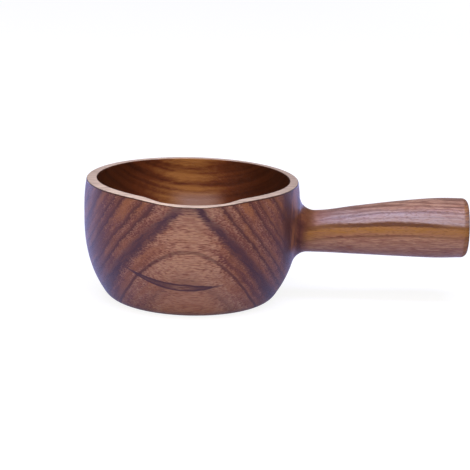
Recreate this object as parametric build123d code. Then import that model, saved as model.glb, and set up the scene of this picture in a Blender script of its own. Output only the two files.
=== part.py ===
from build123d import *
import math
import os

# A small wooden pouring bowl with a stub handle, in millimetres.
# +Z is up, the spout points to -Y and the handle to +X.
# The origin is the centre of the foot, on the surface that the bowl stands on.

# Bowl, outside
RIM_DIAMETER = 80.0
BOWL_HEIGHT = 45.8
BELLY_DIAMETER = 81.5
BELLY_BELOW_RIM = 9.8
FOOT_DIAMETER = 61.0
FOOT_EDGE_RADIUS = 7.0
FOOT_CURVE = 2.85  # power of the curve that tucks the side in to the foot

# Bowl, hollow
RIM_WALL = 3.6
FOOT_WALL = 8.0  # level with the foot, where the side is thickest
FLOOR_THICKNESS = 6.0
FLOOR_CORNER_RADIUS = 10.0
HOLLOW_TO_HANDLE = 0.3  # the hollow's shift from the bowl's axis, towards the handle
HOLLOW_TO_BACK = 1.2  # and away from the spout
RIM_OUTER_ROUND = 0.7
RIM_INNER_ROUND = 0.4

# Spout
LIP_REACH = 2.4  # how far the lip stands out of the round
LIP_HALF_ANGLE = 32.0
LIP_RISE = 12.0  # height over which the lip leaves the round
LIP_WALL = 3.0  # what the channel leaves of the wall at the lip
CHANNEL_HALF_ANGLE = 30.0
CHANNEL_FLANK_ANGLE = 16.0
CHANNEL_RISE = 16.0
RIM_DIP = 1.4
RIM_DIP_HALF_WIDTH = 30.0

# Handle, with its reach measured from the bowl's belly
HANDLE_REACH = 63.9
NECK_BELOW_RIM = 19.3
HANDLE_LIFT = 2.5  # how much higher the grip's end is than the neck
HANDLE_LIFT_CURVE = 1.55
NECK_DIAMETER = 15.8
GRIP_DIAMETER = 22.7
GRIP_SWELL_LENGTH = 44.0
GRIP_SWELL_CURVE = 1.25
GRIP_END_ROUND = 2.4
NECK_FILLET_RADIUS = 6.0

# Dowel joint between the bowl's boss and the handle
BOSS_REACH = 7.8
DOWEL_DIAMETER = 8.0
DOWEL_LENGTH = 30.0
DOWEL_IN_BOSS = 8.0
DOWEL_GLUE_GAP = 0.05
DOWEL_END_GAP = 0.6
DOWEL_CHAMFER = 0.8
FLUTE_COUNT = 12
FLUTE_DEPTH = 0.35
FLUTE_RADIUS = 0.5

# Sections that the lofts pass through
SIDE_SECTIONS = 8
SPOUT_SECTIONS = 5
HANDLE_SECTIONS = 12
ROUND_POINTS = 20  # on the round part of a section
SPOUT_POINTS = 24  # across the spout
SPOUT_MARGIN_ANGLE = 6.0
RIM_STOCK = 5.0  # height above the rim, to be trimmed off

BELLY_RADIUS = BELLY_DIAMETER / 2
BELLY_HEIGHT = BOWL_HEIGHT - BELLY_BELOW_RIM
NECK_HEIGHT = BOWL_HEIGHT - NECK_BELOW_RIM
JOINT_X = BELLY_RADIUS + BOSS_REACH
HANDLE_END_X = BELLY_RADIUS + HANDLE_REACH
TRIM_SIZE = 2 * HANDLE_END_X  # larger than the whole object


def outer_radius(height):
    """Radius of the turned outside, at a height above the foot."""
    if height < BELLY_HEIGHT:
        below = 1 - height / BELLY_HEIGHT
        return BELLY_RADIUS - (BELLY_DIAMETER - FOOT_DIAMETER) / 2 * below**FOOT_CURVE
    above = (height - BELLY_HEIGHT) / BELLY_BELOW_RIM
    return BELLY_RADIUS - (BELLY_DIAMETER - RIM_DIAMETER) / 2 * above**2


def hollow_radius(height):
    """Radius of the turned hollow, which leaves a wall that thickens downwards."""
    below = max(0.0, 1 - height / BOWL_HEIGHT)
    return outer_radius(height) - RIM_WALL - (FOOT_WALL - RIM_WALL) * below**2


def smooth(share):
    """Rises from 0 to 1 with level ends, as the share goes from 0 to 1."""
    share = min(1.0, max(0.0, share))
    return share * share * (3 - 2 * share)


def rise_share(height, rise):
    """0 below the spout, then a growing curve that is 1 at the rim."""
    return max(0.0, (height - BOWL_HEIGHT) / rise + 1) ** 2


def lip_bulge(angle, height):
    """How far the outside stands out of the round, at an angle from the spout."""
    across = smooth(1 - abs(angle) / LIP_HALF_ANGLE)
    return LIP_REACH * across * rise_share(height, LIP_RISE)


def channel_bulge(angle, height):
    """How far the spout's channel is cut outwards from the turned hollow."""
    cut = RIM_WALL + HOLLOW_TO_BACK + LIP_REACH - LIP_WALL
    across = smooth((CHANNEL_HALF_ANGLE - abs(angle)) / CHANNEL_FLANK_ANGLE)
    return cut * across * rise_share(height, CHANNEL_RISE)


def section_angles():
    """Angles from the spout, all the way round from the back, closer together across the spout."""
    spout = max(LIP_HALF_ANGLE, CHANNEL_HALF_ANGLE) + SPOUT_MARGIN_ANGLE
    front = [-spout + 2 * spout * i / SPOUT_POINTS for i in range(SPOUT_POINTS)]
    back = [spout + (360 - 2 * spout) * i / ROUND_POINTS for i in range(ROUND_POINTS)]
    middle = ROUND_POINTS // 2
    return back[middle:] + front + back[:middle]


def section(height, radius, bulge, to_handle, to_back):
    """A level section of the bowl: a circle with the spout's bulge at the front."""
    points = []
    for angle in section_angles():
        reach = radius(height) + bulge(angle, height)
        turn = math.radians(angle)
        points.append((to_handle + reach * math.sin(turn), to_back - reach * math.cos(turn), height))
    return Face(Wire(Spline(*points, periodic=True)))


def section_heights(lowest):
    """Heights of the sections, from the lowest up to the stock above the rim."""
    spout_start = BOWL_HEIGHT - max(LIP_RISE, CHANNEL_RISE)
    top = BOWL_HEIGHT + RIM_STOCK
    side = [lowest + (spout_start - lowest) * i / SIDE_SECTIONS for i in range(SIDE_SECTIONS)]
    return side + [spout_start + (top - spout_start) * i / SPOUT_SECTIONS for i in range(SPOUT_SECTIONS + 1)]


def lofted(lowest, radius, bulge, to_handle, to_back, foot_round):
    """A solid through the sections above a height, with its lowest edge rounded."""
    block = loft([section(h, radius, bulge, to_handle, to_back) for h in section_heights(lowest)])
    return fillet(block.faces().sort_by(Axis.Z)[0].edges(), foot_round)


def rim_trim():
    """What is cut off above the rim, which dips at the spout."""
    top = BOWL_HEIGHT + TRIM_SIZE
    half = RIM_DIP_HALF_WIDTH
    level = ((1, 0), (1, 0))
    dip = Spline((-half, BOWL_HEIGHT), (0, BOWL_HEIGHT - RIM_DIP), (half, BOWL_HEIGHT), tangents=level)
    over = Polyline(
        (half, BOWL_HEIGHT),
        (TRIM_SIZE, BOWL_HEIGHT),
        (TRIM_SIZE, top),
        (-TRIM_SIZE, top),
        (-TRIM_SIZE, BOWL_HEIGHT),
        (-half, BOWL_HEIGHT),
    )
    front = extrude(Plane.XZ * make_face([dip, over]), TRIM_SIZE)
    back = Box(2 * TRIM_SIZE, TRIM_SIZE, TRIM_SIZE, align=(Align.CENTER, Align.MIN, Align.MIN))
    return front + Pos(0, 0, BOWL_HEIGHT) * back


def handle_section(x):
    """A round section of the handle, square to its length: slim at the neck, then swelling and rising."""
    swell = min(1.0, max(0.0, (x - JOINT_X) / GRIP_SWELL_LENGTH))
    along = max(0.0, (x - JOINT_X) / (HANDLE_END_X - JOINT_X))
    diameter = GRIP_DIAMETER - (GRIP_DIAMETER - NECK_DIAMETER) * (1 - swell) ** GRIP_SWELL_CURVE
    height = NECK_HEIGHT + HANDLE_LIFT * (1 - (1 - along) ** HANDLE_LIFT_CURVE)
    return Plane((x, 0, height), x_dir=(0, 1, 0), z_dir=(1, 0, 0)) * Circle(diameter / 2)


def handle_form():
    """The handle's outside, from half way inside the bowl to its rounded end."""
    start = JOINT_X / 2
    step = (HANDLE_END_X - start) / HANDLE_SECTIONS
    stick = loft([handle_section(start + step * i) for i in range(HANDLE_SECTIONS + 1)])
    return fillet(stick.faces().sort_by(Axis.X)[-1].edges(), GRIP_END_ROUND)


def along_dowel(shape, end_gap=0.0):
    """Lays an upright shape along the dowel's line, starting inside the boss."""
    return Pos(JOINT_X - DOWEL_IN_BOSS - end_gap, 0, NECK_HEIGHT) * Rot(0, 90, 0) * shape


def rod(radius, length):
    """An upright cylinder that stands on the origin."""
    return Cylinder(radius, length, align=(Align.CENTER, Align.CENTER, Align.MIN))


def dowel_socket():
    """The hole for the dowel in both pieces, with room for glue round it and at its ends."""
    hole = rod(DOWEL_DIAMETER / 2 + DOWEL_GLUE_GAP, DOWEL_LENGTH + 2 * DOWEL_END_GAP)
    return along_dowel(hole, DOWEL_END_GAP)


def make_dowel():
    """A fluted dowel with chamfered ends."""
    radius = DOWEL_DIAMETER / 2
    plain = rod(radius, DOWEL_LENGTH)
    pointed = chamfer(plain.edges().filter_by(GeomType.CIRCLE), DOWEL_CHAMFER)
    flute = rod(FLUTE_RADIUS, DOWEL_LENGTH)
    places = PolarLocations(radius + FLUTE_RADIUS - FLUTE_DEPTH, FLUTE_COUNT)
    return along_dowel(pointed - [place * flute for place in places])


def make_bowl_and_handle():
    """Both pieces, shaped together as one blended form and parted at the dowel joint."""
    bowl_block = lofted(0.0, outer_radius, lip_bulge, 0.0, 0.0, FOOT_EDGE_RADIUS)
    stick = handle_form()
    joined = bowl_block + stick
    blended = fillet(new_edges(bowl_block, stick, combined=joined), NECK_FILLET_RADIUS)

    # The stock above the rim comes off before the joint is cut, so that it can't reach into the handle.
    trim = rim_trim()
    trimmed = blended - trim
    outer_rim = new_edges(blended, trim, combined=trimmed).filter_by(GeomType.LINE, reverse=True)
    rounded = fillet(outer_rim, RIM_OUTER_ROUND)

    joint = Plane((JOINT_X, 0, NECK_HEIGHT), z_dir=(1, 0, 0))
    socket = dowel_socket()
    handle = split(rounded, bisect_by=joint, keep=Keep.TOP) - socket
    solid_bowl = split(rounded, bisect_by=joint, keep=Keep.BOTTOM)

    hollow = lofted(
        FLOOR_THICKNESS, hollow_radius, channel_bulge, HOLLOW_TO_HANDLE, HOLLOW_TO_BACK, FLOOR_CORNER_RADIUS
    )
    carved = solid_bowl - hollow
    inner_rim = new_edges(solid_bowl, hollow, combined=carved)
    bowl = fillet(inner_rim, RIM_INNER_ROUND) - socket
    return bowl, handle


def main():
    bowl, handle = make_bowl_and_handle()
    pieces = {"bowl": bowl, "handle": handle, "handle_dowel": make_dowel()}
    os.makedirs("parts", exist_ok=True)
    for name, piece in pieces.items():
        export_step(piece, f"parts/{name}.step")
        print(name, "volume", round(piece.volume), "mm3, valid", piece.is_valid)


main()
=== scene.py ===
"""Looks of a small wooden water dipper.

The bowl and the handle get oiled, grained wood and the dowel raw wood, in a pale studio.
"""

import math

import bpy
from bpy.props import FloatProperty, FloatVectorProperty, PointerProperty
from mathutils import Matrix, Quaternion, Vector

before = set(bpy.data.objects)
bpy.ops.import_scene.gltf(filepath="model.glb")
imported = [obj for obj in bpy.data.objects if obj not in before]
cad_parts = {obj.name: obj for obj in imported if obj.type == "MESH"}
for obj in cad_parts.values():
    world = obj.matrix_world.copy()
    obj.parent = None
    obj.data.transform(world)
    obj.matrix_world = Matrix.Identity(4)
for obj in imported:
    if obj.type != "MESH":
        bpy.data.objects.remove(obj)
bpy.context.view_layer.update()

bl_info = {
    "name": "Wooden Water Dipper",
    "version": (1, 0, 0),
    "blender": (4, 5, 0),
    "location": "3D View > Sidebar > Dipper",
    "description": "Finishes a wooden dipper with ringed, oiled grain and sets it in a pale studio",
    "category": "Object",
}

MM = 0.001

# Below, a line is its place, half width and darkness, and a span is a pair of places: its mask goes
# from 0 at the first to 1 at the second. Sideways means along the handle, from the bowl's axis.

LINE_CORE = 0.3  # share of a line's half width that is evenly dark

# The heart of the tree runs along the handle, behind and above the bowl
HEART_LEAN = -0.061  # how much deeper it lies per length along the handle
HEART_RISE = 0.047  # how much higher it lies per length along the handle
RING_FRONT = -41.0 * MM  # the rings are true here, at the bowl's front, and flatten behind it
RING_FLATTENING = 30.0 * MM

# Dark growth rings of the bowl, placed by their distance from the heart
BOWL_RINGS = (
    (117.3 * MM, 0.8 * MM, 0.3),
    (107.0 * MM, 0.65 * MM, 0.85),
    (105.0 * MM, 0.55 * MM, 0.8),
    (101.8 * MM, 0.6 * MM, 0.8),
    (100.1 * MM, 0.5 * MM, 0.75),
    (96.5 * MM, 0.7 * MM, 0.8),
    (93.5 * MM, 0.6 * MM, 0.7),
)
ARCH_RINGS = ((113.7 * MM, 0.36 * MM, 0.75),)  # the thin ring that makes an arch on the front
# Each of the bowl's rings has a crisp core in a faint halo: shares of its half width and darkness
RING_CORE = (0.6, 1.0)
RING_HALO = (1.7, 0.4)

# The widest dark ring runs up to the lip, where it is slimmer and a little nearer to the heart
MAIN_RING = 110.0 * MM
MAIN_RING_AT_LIP = 109.45 * MM
MAIN_RING_HALF = 1.9 * MM
MAIN_RING_CORE = 0.1  # share of its half width that is evenly dark
MAIN_RING_SLIM = 0.32  # share of its width that is left at the lip
BESIDE_LIP = (3.0 * MM, 16.0 * MM)  # to both sides, from its slimmest place to its full width

# Spans of the bowl's plain wood across the rings
YOUNG_WOOD = (109.5 * MM, 114.5 * MM)
INSIDE_ARCH = (113.6 * MM, 112.8 * MM)
RIGHT_BAND = (108.0 * MM, 110.5 * MM)
ARCH_SHADE = ((111.6 * MM, 113.5 * MM), (114.2 * MM, 113.7 * MM))  # from and to
# Its spans sideways, several of which also place painted shade on the flanks
FLANKS = (4.0 * MM, 18.0 * MM)  # to both sides
SHADED_FIBRE_ENDS = (26.0 * MM, 42.0 * MM)  # to both sides
RIGHT_OF_LIP = (0.0, 14.0 * MM)
RIGHT_FLANK = (8.0 * MM, 24.0 * MM)
LEFT_FLANK = (-22.0 * MM, -37.0 * MM)
LEFT_CORNER = (-14.0 * MM, -26.0 * MM)
# Its spans in height
LEFT_CORNER_HEIGHT = (18.0 * MM, 8.0 * MM)
LOW_FRONT = (20.0 * MM, 6.0 * MM)
UNDER_RIM = (30.0 * MM, 40.0 * MM)
# Its tones, on a scale from dark at 0 to pale at 1
BOWL_TONE = 0.78
BOWL_DARKEST = 0.12

# A cleft of dark wood on the front: it lies in a sloping plane and opens to a slim eye
CLEFT_HEIGHT = 50.9 * MM  # where its plane meets the bowl's axis
CLEFT_SLOPE = 0.99
CLEFT_RIGHT_FALL = 0.06  # it dips below the plane to the right of the bowl's axis
CLEFT_MIDDLE = -3.0 * MM
CLEFT_EYE_LEFT = 19.0 * MM  # from the middle to where its two lines meet
CLEFT_EYE_RIGHT = 11.5 * MM
CLEFT_EYE_GAP = 2.9 * MM  # between its two lines, at the middle
CLEFT_EYE_RISE = 1.2 * MM  # of its upper line above the plane, at the middle
CLEFT_EYE_DARK = (0.05, 0.5)  # from the eye's paler middle towards its ends
CLEFT_LINE = 0.65 * MM
CLEFT_TAIL = -16.0 * MM  # it bends below the plane to the left of here
CLEFT_TAIL_BEND = 9.5  # per metre
CLEFT_LEFT_END = (-31.5 * MM, -18.9 * MM)
CLEFT_RIGHT_END = (14.0 * MM, 7.0 * MM)

# Where the bowl turns into the handle: spans sideways and in height, and upright streaks. The dark
# streaks are also painted shade beside the handle
NECK = (40.5 * MM, 45.0 * MM)
NECK_HEIGHT = (12.0 * MM, 24.0 * MM)
NECK_STREAKS_AND_SHADE = ((35.4 * MM, 2.6 * MM, 0.9), (40.4 * MM, 1.1 * MM, 0.55))
NECK_AMBER = ((38.3 * MM, 1.4 * MM, 0.75),)
# The neck is less oiled than the bowl, within these spans sideways and in height
MATT_NECK = ((33.0 * MM, 39.0 * MM), (50.0 * MM, 43.0 * MM))  # from and to
MATT_NECK_HEIGHT = ((20.0 * MM, 25.0 * MM), (37.0 * MM, 32.0 * MM))

# Spans of the rim in height, sideways and in depth
RIM_HEIGHT = (42.0 * MM, 43.2 * MM)
MATT_RIM_HEIGHT = (42.0 * MM, 43.0 * MM)
RIM_AT_LIP = (22.0 * MM, 12.0 * MM)  # to both sides
RIM_ENDS = (31.0 * MM, 40.0 * MM)  # to both sides
RIM_TO_HANDLE = (-20.0 * MM, 38.0 * MM)
RIM_BACK = (-15.0 * MM, 25.0 * MM)
# Its spans of how much the surface faces up, from 0 on an upright wall to 1
# Painted shade: a dark line under the rim's outer edge
RIM_EDGE_SHADE = (0.1, 0.25)
MATT_RIM = (0.5, 0.8)
# The worn top is painted pale, which is also a painted highlight where light falls on it
RIM_WEAR_AND_HIGHLIGHT = (0.7, 0.88)
LIP_WEAR = 0.22  # the rim is worn further down its edge at the lip

# The hollow faces the bowl's axis, and its floor faces up
FACES_AXIS = (2.0 * MM, -2.0 * MM)
HOLLOW_FLOOR_FACING = (0.3, 0.6)
HOLLOW_FLOOR_HEIGHT = (24.0 * MM, 18.0 * MM)
# Dark layers of the hollow, placed by their height at the axis
HOLLOW_LAYERS = (
    (72.3 * MM, 0.9 * MM, 0.2),
    (69.5 * MM, 2.2 * MM, 0.5),
    (63.9 * MM, 2.2 * MM, 0.35),
    (60.6 * MM, 1.0 * MM, 0.2),
    (58.2 * MM, 0.9 * MM, 0.2),
)
HOLLOW_SLOPE = 0.75  # the layers fall towards the back
HOLLOW_TILT = 0.05  # and a little towards the handle
# The hollow is painted light in its golden middle and painted shade away from it
HOLLOW_LIT_MIDDLE = (-2.0 * MM, 10.0 * MM)  # middle and half width, sideways
# Painted highlight: paler wood low on the hollow's back wall stands in for a reflection
HOLLOW_PAINTED_HIGHLIGHT = (2.0 * MM, 13.0 * MM)  # middle and half width, sideways
HOLLOW_HIGHLIGHT_LAYERS = ((40.0 * MM, 52.0 * MM), (61.5 * MM, 57.0 * MM))  # from and to

# The handle's layers arch gently along it. They are placed by their height at the arch's middle
HANDLE_ARCH_MIDDLE = 83.0 * MM
HANDLE_ARCH = 2.05  # per metre
HANDLE_TOP_RISE = 0.05  # the thin layers on top rise towards the end
MIDDLE_LAYERS = (
    (32.1 * MM, 1.15 * MM, 1.0),
    (27.8 * MM, 0.5 * MM, 0.5),
)
TOP_LAYERS = (
    (34.7 * MM, 0.3 * MM, 0.25),
    (36.2 * MM, 0.5 * MM, 0.5),
    (37.2 * MM, 0.3 * MM, 0.4),
    (38.1 * MM, 0.35 * MM, 0.55),
    (39.0 * MM, 0.3 * MM, 0.45),
    (39.9 * MM, 0.4 * MM, 0.5),
    (40.9 * MM, 0.3 * MM, 0.4),
)
# Spans across the layers
HANDLE_BELLY = (17.0 * MM, 26.0 * MM)
GOLDEN_LAYER = (26.0 * MM, 30.5 * MM)
SHOULDER_LAYER = (31.0 * MM, 33.0 * MM)
CROWN_LAYER = (32.2 * MM, 33.4 * MM)
BLUSH_LAYER = (38.0 * MM, 35.0 * MM)
# Spans along the handle
PAST_NECK = (44.0 * MM, 64.0 * MM)
# Painted shade on the handle's top where it meets the bowl
SHOULDER = (47.5 * MM, 43.5 * MM)
CROWN = (42.0 * MM, 49.0 * MM)
CROWN_SHADE = (72.0 * MM, 54.0 * MM)
CROWN_NECK_SHADE = (47.0 * MM, 43.0 * MM)
BLUSH_AND_HIGHLIGHT = (42.0 * MM, 58.0 * MM)
BAND_FADES = (88.0 * MM, 100.0 * MM)
END_GRAIN = (102.0 * MM, 103.0 * MM)
MATT_END = (102.0 * MM, 103.5 * MM)
END_EDGE = ((103.9 * MM, 104.4 * MM), (104.65 * MM, 104.6 * MM))  # from and to

# Streaks of the wood: sizes as multiples of a fibre's, and the span of noise that is a pore
BROAD_STREAK = 4.0
PORE_LENGTH = 0.5
PORE_WIDTH = 0.7
PORE = (0.58, 0.7)

GLOSS = 0.3  # of the oil's reflection, where 0.5 is a hard varnish
BUMP_STRENGTH = 0.5
WORN_ROUGHNESS = 0.4  # added to the oiled surface's
RAW_ROUGHNESS = 0.75
DOWEL_SHADE = 0.75  # share of the dowel's colour that its dark fibres keep

CAMERA_PLACE = Vector((0.0, -0.780, 0.21653))
CAMERA_PITCH = math.radians(13.849)  # down
CAMERA_YAW = math.radians(1.214)  # towards the handle
CAMERA_ROLL = math.radians(1.554)
CAMERA_LENS = 161.9

WHITE = (1.0, 1.0, 1.0)
COOL = (0.42, 0.5, 1.0)  # tint of the side lamps and of the floor's reflection
BOWL_AIM = (0.0, 0.0, 0.025)
GRIP_AIM = (0.04, 0.0, 0.03)
# Soft lamps: name, place, aim, width, height, power and tint
LAMPS = (
    ("front_softbox", (-0.15, -1.1, 0.75), BOWL_AIM, 3.2, 1.8, 20.0, (1.0, 0.95, 0.88)),
    ("top_softbox", (0.03, -0.2, 0.87), GRIP_AIM, 0.9, 0.3, 8.8, (0.55, 0.58, 1.0)),
    ("left_softbox", (-0.62, 0.7, 0.024), BOWL_AIM, 0.5, 0.04, 1.6, COOL),
    ("right_softbox", (0.5, 0.8, 0.024), BOWL_AIM, 0.5, 0.04, 1.5, COOL),
)

FLOOR_SIZE = 8.0
FLOOR_GLOW = 1.15
FLOOR_MIRRORED_GLOW = 1.05  # added in a reflection
FLOOR_SEEN = 0.75  # share of the glow in what the camera sees. The rest takes the shadow
# Spans of the floor that the oil reflects: in depth, and to the left
FLOOR_BACK = (-60.0 * MM, 60.0 * MM)
FLOOR_LEFT = (-15.0 * MM, -50.0 * MM)
FLOOR_LEFT_BACK = (190.0 * MM, 90.0 * MM)

SKY_LIGHT = 0.2  # on the object, where the camera sees 1
SKY_BEHIND = (-0.1, 0.5)  # span of a ray's heading, from the front to the back
RAYS = ("Is Camera Ray", "Is Transmission Ray", "Is Glossy Ray")


class DipperGrain(bpy.types.PropertyGroup):
    """Sizes of the wood's grain."""

    heart_depth: FloatProperty(
        name="Heart depth",
        description="How far behind the bowl's axis the heart of the tree lies",
        default=64.2 * MM,
        unit="LENGTH",
    )
    heart_height: FloatProperty(
        name="Heart height",
        description="How far above the foot the heart of the tree lies",
        default=71.6 * MM,
        unit="LENGTH",
    )
    fibre_length: FloatProperty(
        name="Fibre length",
        description="Length of the fine streaks along the handle's direction",
        default=3.4 * MM,
        unit="LENGTH",
    )
    fibre_width: FloatProperty(
        name="Fibre width",
        description="Width of the fine streaks",
        default=0.38 * MM,
        unit="LENGTH",
    )
    pore_depth: FloatProperty(
        name="Pore depth",
        description="How deep the open pores cut into the surface",
        default=0.12 * MM,
        unit="LENGTH",
    )
    roughness: FloatProperty(
        name="Roughness",
        description="How matt the oiled surface is",
        default=0.38,
        min=0.0,
        max=1.0,
        subtype="FACTOR",
    )


def finish_colour(name, description, default):
    """A colour that a user can change."""
    return FloatVectorProperty(
        name=name,
        description=description,
        default=default,
        size=3,
        min=0.0,
        max=1.0,
        subtype="COLOR",
    )


class DipperColours(bpy.types.PropertyGroup):
    """Colours of the wood, some of them with painted light and shade, and the floor."""

    pale: finish_colour("Pale wood", "Palest wood between the rings", (0.445, 0.22, 0.105))
    tan: finish_colour("Tan wood", "Most of the bowl's front", (0.31, 0.127, 0.06))
    brown: finish_colour("Brown wood", "Wood near the dark rings", (0.2, 0.059, 0.027))
    dark: finish_colour("Dark wood", "Deepest brown of the plain wood", (0.075, 0.018, 0.009))
    ring: finish_colour("Ring", "Widest dark ring and the cleft", (0.07, 0.022, 0.019))
    # Worn, sanded rim, painted paler also as a painted highlight where light falls on its top
    rim: finish_colour("Rim", "Worn, sanded top of the rim", (0.79, 0.595, 0.385))
    rim_streak: finish_colour("Rim streaks", "Brown streaks on the rim", (0.35, 0.25, 0.17))
    # The hollow's colours are painted light and shade: golden where light falls in its middle, a
    # half shade beside it, painted shade at its sides and under the rim's outer edge, and a painted
    # highlight at its bottom
    hollow: finish_colour("Hollow", "Golden middle of the hollow", (0.42, 0.165, 0.04))
    hollow_half_shade: finish_colour("Red hollow", "Beside the hollow's middle", (0.165, 0.04, 0.01))
    hollow_painted_shade: finish_colour("Dark hollow", "Sides of the hollow", (0.04, 0.008, 0.002))
    hollow_painted_highlight: finish_colour("Pale hollow", "Bottom of the hollow", (0.43, 0.24, 0.16))
    # Pinkish wood on the handle's top, painted paler also as a painted highlight where light falls
    blush_and_highlight: finish_colour("Blush wood", "Pinkish top of the handle", (0.38, 0.275, 0.24))
    golden: finish_colour("Golden wood", "Golden layer along the handle", (0.31, 0.122, 0.018))
    honey: finish_colour("Honey wood", "Dark layer above the golden one", (0.11, 0.03, 0.004))
    amber: finish_colour("Amber wood", "Warm streaks of the bowl's outside", (0.3, 0.1, 0.028))
    dowel: finish_colour("Dowel", "Raw dowel", (0.62, 0.45, 0.28))
    floor: finish_colour("Floor", "Cool light that the floor throws back", (0.52, 0.57, 0.78))


class Shade:
    """A value in a shader. Arithmetic on it adds Math nodes to the same tree."""

    def __init__(self, nodes, socket):
        self.nodes = nodes
        self.socket = socket

    def math(self, operation, *values):
        return self.nodes.add("ShaderNodeMath", {"operation": operation}, dict(enumerate(values)))

    def __add__(self, other):
        return self.math("ADD", self, other)

    def __radd__(self, other):
        return self.math("ADD", other, self)

    def __sub__(self, other):
        return self.math("SUBTRACT", self, other)

    def __rsub__(self, other):
        return self.math("SUBTRACT", other, self)

    def __mul__(self, other):
        return self.math("MULTIPLY", self, other)

    def __rmul__(self, other):
        return self.math("MULTIPLY", other, self)

    def __truediv__(self, other):
        return self.math("DIVIDE", self, other)

    def __rtruediv__(self, other):
        return self.math("DIVIDE", other, self)

    def __pow__(self, other):
        return self.math("POWER", self, other)

    def __abs__(self):
        return self.math("ABSOLUTE", self)

    def larger(self, other):
        return self.math("MAXIMUM", self, other)

    def exponential(self):
        return self.math("EXPONENT", self)

    def bell(self, width):
        """1 at 0, and falling to 0 on both sides."""
        return 1.0 / self.math("COSH", self / width)

    def fade(self, start, end):
        """Goes smoothly from 0 at the start to 1 at the end."""
        sockets = {"Value": self, "From Min": start, "From Max": end}
        return self.nodes.add("ShaderNodeMapRange", {"interpolation_type": "SMOOTHSTEP"}, sockets)


class Nodes:
    """A node tree under construction."""

    def __init__(self, tree):
        self.tree = tree
        tree.nodes.clear()

    def add(self, kind, settings=None, sockets=None, output=0):
        """Adds a node: its settings, then its sockets' values or links. Returns one output."""
        node = self.tree.nodes.new(kind)
        for name, value in (settings or {}).items():
            if name == "stops":
                set_stops(node.color_ramp, value)
            else:
                setattr(node, name, value)
        for key, value in (sockets or {}).items():
            if isinstance(value, Shade):
                self.tree.links.new(value.socket, node.inputs[key])
            else:
                node.inputs[key].default_value = value
        return Shade(self, node.outputs[output]) if node.outputs else None

    def mix(self, share, first, second):
        """A colour between two others."""
        return self.add("ShaderNodeMix", {"data_type": "RGBA"}, {0: share, 6: first, 7: second}, 2)

    def ramp(self, value, stops):
        """A colour from a row of colours."""
        return self.add("ShaderNodeValToRGB", {"stops": stops}, {0: value})

    def vector(self, x, y, z):
        """A point from its x, y and z."""
        return self.add("ShaderNodeCombineXYZ", None, {0: x, 1: y, 2: z})

    def place(self):
        """The point on the piece, and its x, y and z."""
        point = self.add("ShaderNodeTexCoord", output="Object")
        split = [self.add("ShaderNodeSeparateXYZ", None, {0: point}, axis) for axis in range(3)]
        return point, *split

    def normal(self, axis):
        """One part of the direction that the surface faces."""
        facing = self.add("ShaderNodeTexCoord", output="Normal")
        return self.add("ShaderNodeSeparateXYZ", None, {0: facing}, axis)

    def rays(self):
        """Whether a ray comes from the camera, through glass or from a reflection."""
        return [self.add("ShaderNodeLightPath", output=name) for name in RAYS]

    def noise(self, point, length, width, detail):
        """Noise from 0 to 1 in cells of a length along x and a width across it."""
        scale = (1 / length, 1 / width, 1 / width)
        scaled = self.add("ShaderNodeMapping", None, {"Vector": point, "Scale": scale})
        sockets = {"Vector": scaled, "Scale": 1.0, "Detail": detail}
        return self.add("ShaderNodeTexNoise", None, sockets)

    def drift(self, point, length, width, detail):
        """Noise about 0, from -0.5 to 0.5."""
        return self.noise(point, length, width, detail) - 0.5


def set_stops(ramp, stops):
    """Gives a colour ramp its places and colours."""
    while len(ramp.elements) < len(stops):
        ramp.elements.new(1.0)
    for element, (place, colour) in zip(ramp.elements, stops):
        element.position = place
        element.color = opaque(colour)


def opaque(colour):
    """A colour with an alpha of 1."""
    return (*colour[:3], 1.0)


def any_of(masks):
    """1 where any of the masks is 1."""
    left = 1.0
    for mask in masks:
        left = (1 - mask) * left
    return 1 - left


def within(value, spans):
    """1 between the rise of the first span and the fall of the second."""
    rise, fall = spans
    return value.fade(*rise) * value.fade(*fall)


def dark_lines(place, lines):
    """A mask of soft lines."""
    return any_of([
        abs(place - middle).fade(half, half * LINE_CORE) * darkness
        for middle, half, darkness in lines
    ])


def scaled_lines(lines, width, strength):
    """The same lines, with their half widths and darknesses scaled."""
    return [(middle, half * width, darkness * strength) for middle, half, darkness in lines]


def fibres(nodes, point, grain):
    """Fine streaks and broader streaks, both about 0, and open pores, all along the handle."""
    length, width = grain.fibre_length, grain.fibre_width
    fine = nodes.drift(point, length, width, 1.0)
    broad = nodes.drift(point, length * BROAD_STREAK, width * BROAD_STREAK, 2.0)
    pores = nodes.noise(point, length * PORE_LENGTH, width * PORE_WIDTH, 0.0).fade(*PORE)
    return fine, broad, pores


def growth_ring(x, y, z, grain):
    """Distance from the heart of the tree.

    The rings flatten towards the back of the bowl, so depth counts for less there.
    """
    behind = ((RING_FRONT - y) / RING_FLATTENING).exponential() * RING_FLATTENING
    depth = RING_FRONT + RING_FLATTENING - behind
    back = depth - grain.heart_depth - x * HEART_LEAN
    up = z - grain.heart_height - x * HEART_RISE
    return (back * back + up * up) ** 0.5


def main_ring(ring, x, noise):
    """The widest dark ring of the bowl, as a mask."""
    away = abs(x).fade(*BESIDE_LIP)
    share = away * (1 - MAIN_RING_SLIM) + MAIN_RING_SLIM
    middle = away * (MAIN_RING - MAIN_RING_AT_LIP) + MAIN_RING_AT_LIP
    off = abs((ring - middle) / share + noise)
    return off.fade(MAIN_RING_HALF, MAIN_RING_HALF * MAIN_RING_CORE)


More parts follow.
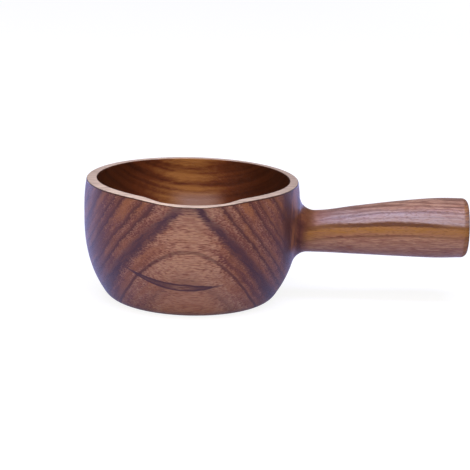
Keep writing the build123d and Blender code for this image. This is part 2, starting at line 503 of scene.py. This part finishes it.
def cleft(x, y, z, noise):
    """The dark cleft on the bowl's front: two lines that part at the eye, and its filling."""
    tail = (CLEFT_TAIL - x).larger(0.0)
    bend = tail * tail * CLEFT_TAIL_BEND + x.larger(0.0) * CLEFT_RIGHT_FALL
    off = x - CLEFT_MIDDLE
    along = (off / CLEFT_EYE_RIGHT).larger(off / -CLEFT_EYE_LEFT)
    gap = (1 - along * along).larger(0.0)
    upper = z - y * CLEFT_SLOPE - CLEFT_HEIGHT + bend - gap * CLEFT_EYE_RISE + noise
    lower = upper + gap * CLEFT_EYE_GAP
    lines = [abs(edge).fade(CLEFT_LINE, CLEFT_LINE * LINE_CORE) * 0.9 for edge in (upper, lower)]
    between = upper.fade(CLEFT_LINE, 0.0) * lower.fade(-CLEFT_LINE, 0.0)
    filling = between * (along.fade(*CLEFT_EYE_DARK) * 0.5 + 0.3)
    return any_of([*lines, filling]) * x.fade(*CLEFT_LEFT_END) * x.fade(*CLEFT_RIGHT_END)


def bowl_tone(x, z, ring, flank, layers, lines, streaks):
    """How pale the bowl's plain wood is: painted shade darkens it away from the lip, round the
    sides and at the lower left, and round the sides it also stands for darker end grain.
    """
    fine, broad, _ = streaks
    young = ring.fade(*YOUNG_WOOD) * 0.08
    shaded_low_left = x.fade(*LEFT_CORNER) * z.fade(*LEFT_CORNER_HEIGHT)
    sides = x.fade(*RIGHT_FLANK) * 0.04 + x.fade(*LEFT_FLANK) * 0.22
    # Painted shade: darker away from the lip, towards both sides and at the lower left. Towards the
    # sides it also stands for darker end grain
    ends = flank * 0.25 + sides + abs(x).fade(*SHADED_FIBRE_ENDS) * 0.35 + shaded_low_left * 0.25
    speckle = fine * (1.9 - flank * 0.4) + lines * flank * 0.65
    right = x.fade(*RIGHT_OF_LIP) * ring.fade(*RIGHT_BAND)
    band = ring.fade(*INSIDE_ARCH) * (flank * 0.14 + right * 0.28)
    arch_shade = within(ring, ARCH_SHADE) * 0.12
    shades = layers * 0.65 + speckle + broad * 0.5 + young - ends - band - arch_shade
    return (shades + BOWL_TONE).larger(BOWL_DARKEST)


def neck_colour(nodes, x, y, z, wood, colours):
    """Wood with upright amber and dark streaks where the bowl turns into the handle. The dark
    streaks also paint the shade there.
    """
    stretched = nodes.vector(x, y * 0.3, z * 0.06)
    upright = nodes.drift(stretched, 0.8 * MM, 0.8 * MM, 2.0)
    neck = x + upright * (4.0 * MM)
    height = z.fade(*NECK_HEIGHT)
    flame = dark_lines(neck, NECK_AMBER) * height * upright.fade(-0.2, 0.1)
    flamed = nodes.mix(flame, wood, opaque(colours.amber))
    # Dark streaks, which also paint the shade where the bowl meets the handle
    return nodes.mix(dark_lines(neck, NECK_STREAKS_AND_SHADE) * height, flamed, opaque(colours.dark))


def outside_colour(nodes, x, y, z, wander, streaks, grain, colours):
    """Ringed wood: tan on the front, darker round the sides by painted shade, with dark rings and a
    cleft.
    """
    fine, broad, pores = streaks
    true_ring = growth_ring(x, y, z, grain)
    noise = wander * (0.9 * MM) + broad * (0.9 * MM) + fine * (0.65 * MM)
    ring = true_ring + noise
    ringed = nodes.vector(x * 0.02, ring, 0.0)
    layers = nodes.drift(ringed, 1.1 * MM, 1.1 * MM, 2.0)
    streaked = nodes.vector(x * 0.06, ring, z * 0.1)
    lines = nodes.drift(streaked, 0.45 * MM, 0.45 * MM, 1.0)
    flank = abs(x).fade(*FLANKS)
    tone = bowl_tone(x, z, ring, flank, layers, lines, streaks)
    stops = ((0.0, colours.dark), (0.3, colours.brown), (0.6, colours.tan), (0.95, colours.pale))
    plain = nodes.ramp(tone, stops)

    warm_share = flank * (z.fade(*UNDER_RIM) * 0.25 + 0.35) + 0.15
    warmth = nodes.noise(streaked, 1.6 * MM, 1.6 * MM, 2.0).fade(0.45, 0.62) * warm_share
    low_front = z.fade(*LOW_FRONT) * (1 - flank) * (wander * 0.8 + 0.4)
    warm = nodes.mix(any_of([warmth, low_front]), plain, opaque(colours.amber))

    parts = (RING_CORE, RING_HALO)
    rings = [dark_lines(ring, scaled_lines(BOWL_RINGS, *part)) for part in parts]
    calm = true_ring + wander * (0.7 * MM) + fine * (0.3 * MM)
    arch = dark_lines(calm, ARCH_RINGS) * (flank * 0.4 + broad * 0.8 + 0.65)
    lined = nodes.mix(any_of([*rings, arch, pores * 0.35]), warm, opaque(colours.dark))
    widest = main_ring(true_ring, x, noise + fine * (0.6 * MM)) * (lines * 1.2 + 0.92)
    eye = cleft(x, y, z, wander * (0.8 * MM) + fine * (0.5 * MM))
    wood = nodes.mix(any_of([widest, eye]), lined, opaque(colours.ring))
    return neck_colour(nodes, x, y, z, wood, colours)


def hollow_colour(nodes, x, y, z, wander, streaks, colours):
    """Golden wood in sloping layers, with painted shade to both sides, where the fibres end, and a
    painted highlight below.
    """
    fine, broad, _ = streaks
    lit_middle, lit_half = HOLLOW_LIT_MIDDLE
    highlight_middle, highlight_half = HOLLOW_PAINTED_HIGHLIGHT
    layer = z + y * HOLLOW_SLOPE + x * HOLLOW_TILT + wander * (1.6 * MM) + fine * (0.4 * MM)
    stacked = nodes.vector(x * 0.03, layer, 0.0)
    shades = nodes.drift(stacked, 1.8 * MM, 1.8 * MM, 2.0)
    streaky = shades * 0.95 + broad * 0.8 + fine * 0.4 - dark_lines(layer, HOLLOW_LAYERS)
    # Painted light in the golden middle, and painted shade to both sides
    lit = (x - lit_middle).bell(lit_half) * (streaky + 1.05) + shades * 0.3
    stops = ((0.0, colours.hollow_painted_shade), (0.42, colours.hollow_half_shade), (1.0, colours.hollow))
    golden = nodes.ramp(lit, stops)
    # Painted highlight low on the back wall: paler wood standing in for a reflection
    low = within(layer, HOLLOW_HIGHLIGHT_LAYERS)
    painted_highlight = low * abs(x - highlight_middle).fade(highlight_half, highlight_half * 0.2) * (streaky * 0.5 + 0.95)
    return nodes.mix(painted_highlight, golden, opaque(colours.hollow_painted_highlight))


def rim_colour(nodes, point, x, y, colours):
    """Worn, sanded wood painted pale, also as a painted highlight, with brown streaks, browner at
    the back, the sides and the handle.
    """
    broad = nodes.noise(point, 14 * MM, 2.4 * MM, 3.0).fade(0.48, 0.7) * 0.26
    thin = nodes.noise(point, 9 * MM, 0.6 * MM, 1.0).fade(0.5, 0.66) * 0.7
    back = y.fade(*RIM_BACK) * 0.45
    side = x.fade(*RIM_TO_HANDLE) * 0.4
    ends = abs(x).fade(*RIM_ENDS) * 0.35
    brown = any_of([broad, thin, back, side, ends])
    return nodes.mix(brown, opaque(colours.rim), opaque(colours.rim_streak))


def bowl_colour(nodes, point, x, y, z, streaks, grain, colours):
    """Ringed wood outside, golden wood in the hollow, and a worn rim painted pale, partly as a
    painted highlight, with painted shade under its outer edge.
    """
    wander = nodes.drift(point, 18 * MM, 9 * MM, 2.0)
    outside = outside_colour(nodes, x, y, z, wander, streaks, grain, colours)
    inside = hollow_colour(nodes, x, y, z, wander, streaks, colours)
    up = nodes.normal(2)
    is_wall = (nodes.normal(0) * x + nodes.normal(1) * y).fade(*FACES_AXIS)
    is_floor = up.fade(*HOLLOW_FLOOR_FACING) * z.fade(*HOLLOW_FLOOR_HEIGHT)
    wall = nodes.mix(any_of([is_wall, is_floor]), outside, inside)
    near_rim = z.fade(*RIM_HEIGHT)
    # Painted shade: a dark line just under the rim's outer edge
    edge = up.fade(*RIM_EDGE_SHADE) * near_rim * (1 - is_wall) * 0.9
    edge_shaded = nodes.mix(edge, wall, opaque(colours.hollow_painted_shade))
    # The worn top of the rim is painted pale, which is also a painted highlight where light falls
    # on it
    worn = (up + abs(x).fade(*RIM_AT_LIP) * LIP_WEAR).fade(*RIM_WEAR_AND_HIGHLIGHT) * near_rim
    return nodes.mix(worn * 0.95, edge_shaded, rim_colour(nodes, point, x, y, colours))


def end_grain_colour(nodes, x, y, z, colours):
    """The handle's end: golden wood crossed by thin dark layers, with a dark edge."""
    stacked = nodes.vector(y * 0.12, z, 0.0)
    layers = nodes.noise(stacked, 1.1 * MM, 1.1 * MM, 2.0).fade(0.55, 0.42) * 0.7
    golden = nodes.mix(layers, opaque(colours.golden), opaque(colours.dark))
    return nodes.mix(within(x, END_EDGE) * 0.6, golden, opaque(colours.dark))


def handle_colour(nodes, point, x, y, z, streaks, colours):
    """Straight wood in layers: brown below, golden in the middle, pinkish on top, which is also a
    painted highlight, with painted shade below and near the neck.
    """
    fine, broad, pores = streaks
    off = x - HANDLE_ARCH_MIDDLE
    wander = nodes.drift(point, 40 * MM, 5 * MM, 2.0)
    ragged = nodes.drift(point, 12 * MM, 1.2 * MM, 2.0)
    layer = z + off * off * HANDLE_ARCH + wander * (0.8 * MM) + ragged * (1.2 * MM)
    crown = layer.fade(*CROWN_LAYER)
    shaded = crown * (x.fade(*CROWN_SHADE) * 0.5 + x.fade(*CROWN_NECK_SHADE) * 0.35)
    # Painted shade and light: a little darker below the belly, paler on the crown
    rise = layer.fade(*HANDLE_BELLY) * 0.12 + crown * 0.08
    tone = rise + fine * 1.1 + broad * 0.9 + ragged * 0.4 - shaded + 0.5
    stops = ((0.1, colours.brown), (0.45, colours.tan), (0.85, colours.pale))
    plain = nodes.ramp(tone, stops)

    gilt = layer.fade(*GOLDEN_LAYER) * (fine * 0.9 + broad * 1.2 + ragged * 0.6 + 0.9)
    warm = nodes.mix(gilt, plain, opaque(colours.golden))
    topped = nodes.mix(crown * (x.fade(*CROWN) * 0.7 + 0.3), warm, plain)
    # Pinkish wood, painted paler on top also as a painted highlight
    pink = crown * (layer.fade(*BLUSH_LAYER) * 0.6 + 0.25)
    blush_and_highlight = pink * (fine * 0.8 + broad * 1.2 + 0.9) * x.fade(*BLUSH_AND_HIGHLIGHT)
    capped = nodes.mix(blush_and_highlight, topped, opaque(colours.blush_and_highlight))

    past_neck = x.fade(*PAST_NECK)
    faded = x.fade(*BAND_FADES) * 0.45
    middle = dark_lines(layer + fine * (0.9 * MM), MIDDLE_LAYERS)
    band = middle * (past_neck * 0.4 + 0.6 - faded)
    # Painted shade on the handle's top where it meets the bowl
    shaded_shoulder = layer.fade(*SHOULDER_LAYER) * x.fade(*SHOULDER) * (broad * 1.2 + 0.75)
    banded = nodes.mix(any_of([band, shaded_shoulder]), capped, opaque(colours.honey))
    top = layer - off * HANDLE_TOP_RISE
    dark = any_of([dark_lines(top, TOP_LAYERS) * past_neck, pores * 0.25])
    along = nodes.mix(dark, banded, opaque(colours.dark))
    end_grain = end_grain_colour(nodes, x, y, z, colours)
    return nodes.mix(x.fade(*END_GRAIN) * 0.55, along, end_grain)


def oiled(nodes, colour, streaks, grain, worn):
    """Finishes a material as oiled wood: satin with shallow open pores, matt where it is worn."""
    fine, _, pores = streaks
    relief = {
        "Strength": BUMP_STRENGTH,
        "Distance": grain.pore_depth,
        "Height": fine * 0.6 - pores,
    }
    sockets = {
        "Base Color": colour,
        "Roughness": fine * 0.12 + pores * 0.15 + worn * WORN_ROUGHNESS + grain.roughness,
        "Normal": nodes.add("ShaderNodeBump", None, relief),
        "Specular IOR Level": GLOSS,
    }
    shader = nodes.add("ShaderNodeBsdfPrincipled", None, sockets)
    nodes.add("ShaderNodeOutputMaterial", None, {"Surface": shader})


def new_material(name):
    """An empty node material, and its nodes."""
    material = bpy.data.materials.new(name)
    material.use_nodes = True
    return material, Nodes(material.node_tree)


def finish_node(name, material):
    """Puts a material on every slot of a CAD node."""
    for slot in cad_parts[name].material_slots:
        slot.material = material


class DIPPER_OT_finish_bowl(bpy.types.Operator):
    """Gives the bowl its ringed wood, which turns into the handle's straight wood at the neck"""

    bl_idname = "dipper.finish_bowl"
    bl_label = "Finish Bowl"

    def execute(self, context):
        grain, colours = context.scene.dipper_grain, context.scene.dipper_colours
        material, nodes = new_material("oiled_ringed_wood")
        point, x, y, z = nodes.place()
        streaks = fibres(nodes, point, grain)
        ringed = bowl_colour(nodes, point, x, y, z, streaks, grain, colours)
        straight = handle_colour(nodes, point, x, y, z, streaks, colours)
        colour = nodes.mix(x.fade(*NECK), ringed, straight)
        rim = nodes.normal(2).fade(*MATT_RIM) * z.fade(*MATT_RIM_HEIGHT)
        neck = within(x, MATT_NECK) * within(z, MATT_NECK_HEIGHT)
        oiled(nodes, colour, streaks, grain, any_of([rim, neck]))
        finish_node("bowl", material)
        return {"FINISHED"}


class DIPPER_OT_finish_handle(bpy.types.Operator):
    """Gives the handle its straight, layered wood"""

    bl_idname = "dipper.finish_handle"
    bl_label = "Finish Handle"

    def execute(self, context):
        grain, colours = context.scene.dipper_grain, context.scene.dipper_colours
        material, nodes = new_material("oiled_straight_wood")
        point, x, y, z = nodes.place()
        streaks = fibres(nodes, point, grain)
        colour = handle_colour(nodes, point, x, y, z, streaks, colours)
        oiled(nodes, colour, streaks, grain, x.fade(*MATT_END))
        finish_node("handle", material)
        return {"FINISHED"}


class DIPPER_OT_finish_dowel(bpy.types.Operator):
    """Gives the hidden dowel its raw, pale wood"""

    bl_idname = "dipper.finish_dowel"
    bl_label = "Finish Dowel"

    def execute(self, context):
        grain, colours = context.scene.dipper_grain, context.scene.dipper_colours
        material, nodes = new_material("raw_dowel_wood")
        point, _, _, _ = nodes.place()
        fine, _, pores = fibres(nodes, point, grain)
        shaded = [channel * DOWEL_SHADE for channel in colours.dowel]
        share = fine * 0.6 + pores * 0.4 + 0.3
        colour = nodes.mix(share, opaque(colours.dowel), opaque(shaded))
        sockets = {"Base Color": colour, "Roughness": fine * 0.1 + RAW_ROUGHNESS}
        shader = nodes.add("ShaderNodeBsdfPrincipled", None, sockets)
        nodes.add("ShaderNodeOutputMaterial", None, {"Surface": shader})
        finish_node("handle_dowel", material)
        return {"FINISHED"}


def add_softbox(name, place, aim, width, height, power, tint):
    """A rectangular studio lamp that points at a place."""
    bpy.ops.object.light_add(type="AREA", location=place)
    lamp = bpy.context.object
    lamp.name = name
    lamp.data.shape = "RECTANGLE"
    lamp.data.size, lamp.data.size_y = width, height
    lamp.data.energy = power
    lamp.data.color = tint
    lamp.rotation_mode = "QUATERNION"
    lamp.rotation_quaternion = (Vector(aim) - Vector(place)).to_track_quat("-Z", "Y")
    lamp.visible_camera = False


class DIPPER_OT_set_stage(bpy.types.Operator):
    """Makes the pale floor, the soft lamps, the sky and the camera"""

    bl_idname = "dipper.set_stage"
    bl_label = "Set Stage"

    def execute(self, context):
        scene = context.scene
        self.add_floor(scene.dipper_colours.floor)
        for lamp in LAMPS:
            add_softbox(*lamp)
        self.add_sky(scene)
        self.add_camera(scene)
        scene.view_settings.view_transform = "Standard"
        return {"FINISHED"}

    def add_floor(self, colour):
        """White to the camera, with the object's shadow, and a cool sheen in the oil."""
        bpy.ops.mesh.primitive_plane_add(size=FLOOR_SIZE)
        floor = bpy.context.object
        floor.name = "floor"
        material, nodes = new_material("pale_floor")
        seen, through, mirrored = nodes.rays()
        _, across, back, _ = nodes.place()
        shade = nodes.mix(seen, opaque(colour), opaque(WHITE))
        lit = nodes.add("ShaderNodeBsdfDiffuse", None, {"Color": shade})
        tint = nodes.mix(mirrored, opaque(WHITE), opaque(COOL))
        strength = mirrored * FLOOR_MIRRORED_GLOW + FLOOR_GLOW
        glow = nodes.add("ShaderNodeEmission", None, {"Color": tint, "Strength": strength})
        left = across.fade(*FLOOR_LEFT) * back.fade(*FLOOR_LEFT_BACK)
        cool = back.fade(*FLOOR_BACK) * 0.28 + left * 0.48 + 0.13
        share = seen.larger(through) * FLOOR_SEEN + mirrored * cool
        surface = nodes.add("ShaderNodeMixShader", None, {0: share, 1: lit, 2: glow})
        nodes.add("ShaderNodeOutputMaterial", None, {"Surface": surface})
        floor.data.materials.append(material)

    def add_sky(self, scene):
        """White to the camera, and a soft, dimmer light on the object."""
        scene.world = bpy.data.worlds.new("studio_sky")
        scene.world.use_nodes = True
        nodes = Nodes(scene.world.node_tree)
        seen, through, mirrored = nodes.rays()
        heading = nodes.add("ShaderNodeTexCoord", output="Generated")
        behind = nodes.add("ShaderNodeSeparateXYZ", None, {0: heading}, 1).fade(*SKY_BEHIND)
        sheen = mirrored * (behind * 0.35 + 0.05)
        strength = seen.larger(through).larger(sheen).larger(SKY_LIGHT)
        sockets = {"Color": opaque(WHITE), "Strength": strength}
        sky = nodes.add("ShaderNodeBackground", None, sockets)
        nodes.add("ShaderNodeOutputWorld", None, {"Surface": sky})

    def add_camera(self, scene):
        """At the photograph's viewing angle."""
        bpy.ops.object.camera_add(location=CAMERA_PLACE)
        camera = bpy.context.object
        camera.name = "camera"
        camera.data.lens = CAMERA_LENS
        level = math.cos(CAMERA_PITCH)
        across, ahead = math.sin(CAMERA_YAW) * level, math.cos(CAMERA_YAW) * level
        sight = Vector((across, ahead, -math.sin(CAMERA_PITCH)))
        roll = Quaternion((0, 0, 1), CAMERA_ROLL)
        camera.rotation_mode = "QUATERNION"
        camera.rotation_quaternion = sight.to_track_quat("-Z", "Y") @ roll
        scene.camera = camera


class DIPPER_PT_panel(bpy.types.Panel):
    """Lists the dipper's finishes and their settings"""

    bl_idname = "DIPPER_PT_panel"
    bl_label = "Dipper"
    bl_space_type = "VIEW_3D"
    bl_region_type = "UI"
    bl_category = "Dipper"

    def draw(self, context):
        for operator in OPERATORS:
            self.layout.operator(operator.bl_idname)
        for group in (context.scene.dipper_grain, context.scene.dipper_colours):
            for name in group.bl_rna.properties.keys():
                if name not in ("rna_type", "name"):
                    self.layout.prop(group, name)


OPERATORS = (
    DIPPER_OT_finish_bowl,
    DIPPER_OT_finish_handle,
    DIPPER_OT_finish_dowel,
    DIPPER_OT_set_stage,
)
CLASSES = (DipperGrain, DipperColours, *OPERATORS, DIPPER_PT_panel)


def register():
    for each in CLASSES:
        bpy.utils.register_class(each)
    bpy.types.Scene.dipper_grain = PointerProperty(type=DipperGrain)
    bpy.types.Scene.dipper_colours = PointerProperty(type=DipperColours)


def unregister():
    del bpy.types.Scene.dipper_colours
    del bpy.types.Scene.dipper_grain
    for each in reversed(CLASSES):
        bpy.utils.unregister_class(each)


def main():
    register()
    bpy.ops.object.select_all(action="DESELECT")
    bpy.ops.dipper.finish_bowl()
    bpy.ops.dipper.finish_handle()
    bpy.ops.dipper.finish_dowel()
    bpy.ops.dipper.set_stage()


if __name__ == "__main__":
    main()
